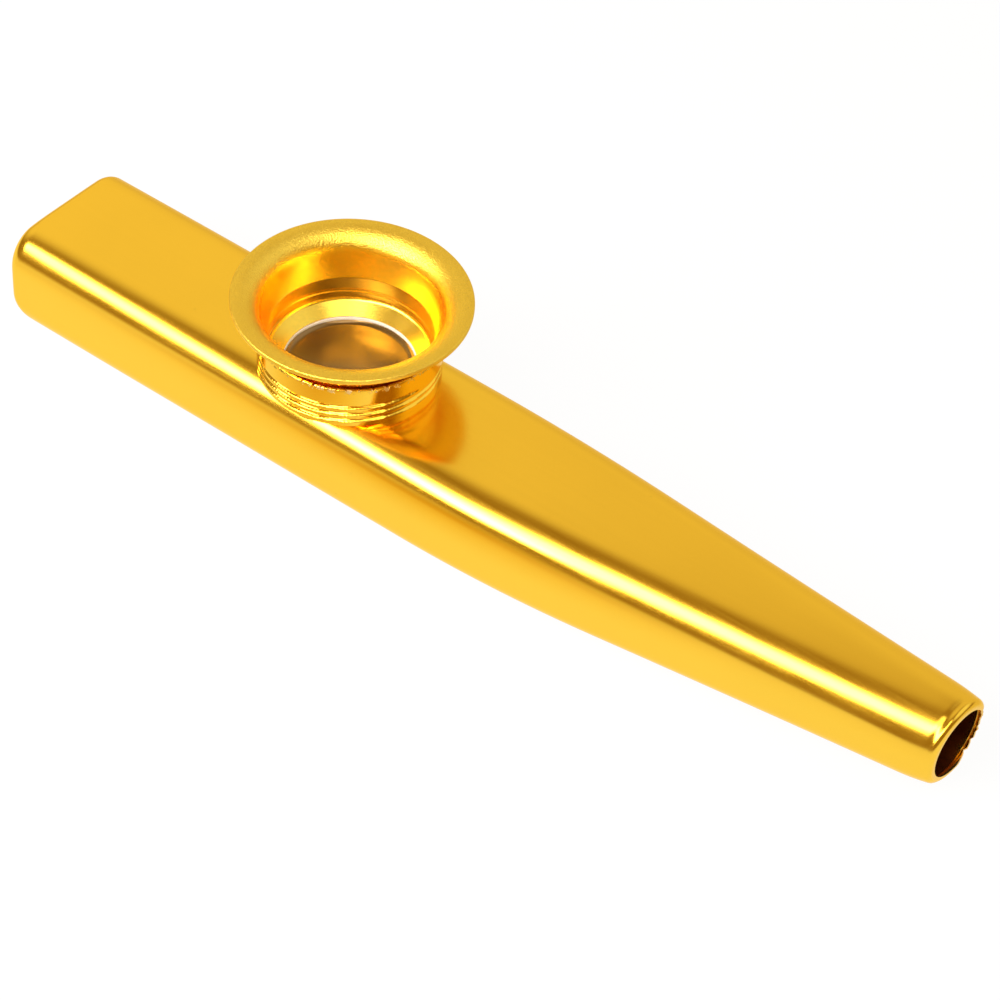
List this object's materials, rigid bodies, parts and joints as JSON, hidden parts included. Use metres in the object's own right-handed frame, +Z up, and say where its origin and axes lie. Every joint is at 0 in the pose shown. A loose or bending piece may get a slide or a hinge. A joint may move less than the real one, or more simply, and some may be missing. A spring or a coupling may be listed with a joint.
{
  "type": "kazoo",
  "caption": "Metal kazoo: a tapered rounded-square tube with rolled open ends and a flanged screw cap on a turret that clamps a buzzing membrane.",
  "frame": {"origin": "under the middle of the tube's length, on the plane that the tube rests on", "axes": "+X along the tube from the wide mouth end to the narrow tip, +Z up through the turret's side of the tube"},
  "size_m": [0.12, 0.026, 0.0222],
  "materials": {
    "tube_gold": "polished gold-anodised aluminium",
    "collar_gold": "bright gold-anodised aluminium with worn edges",
    "cap_gold": "satin gold-anodised aluminium",
    "ring_white": "smooth white plastic",
    "film_clear": "clear glossy film"
  },
  "bodies": {
    "tube": {"body_shell": "tube_gold", "turret_collar": "collar_gold"},
    "membrane": {"membrane_ring": "ring_white", "membrane_film": "film_clear"},
    "cap": {"turret_cap": "cap_gold"}
  },
  "joints": [
    {"name": "membrane_lift", "type": "slide", "parent": "tube", "child": "membrane", "axis": [0, 0, 1], "range_m": [0, 0.0018]},
    {"name": "cap_turn", "type": "hinge", "parent": "membrane", "child": "cap", "pos_m": [-0.0178, 0, 0.01275], "axis": [0, 0, 1], "range_deg": [0, 720]}
  ],
  "couplings": [
    {"joint": "membrane_lift", "follows": "cap_turn", "m_per_rad": 0.00014323}
  ]
}
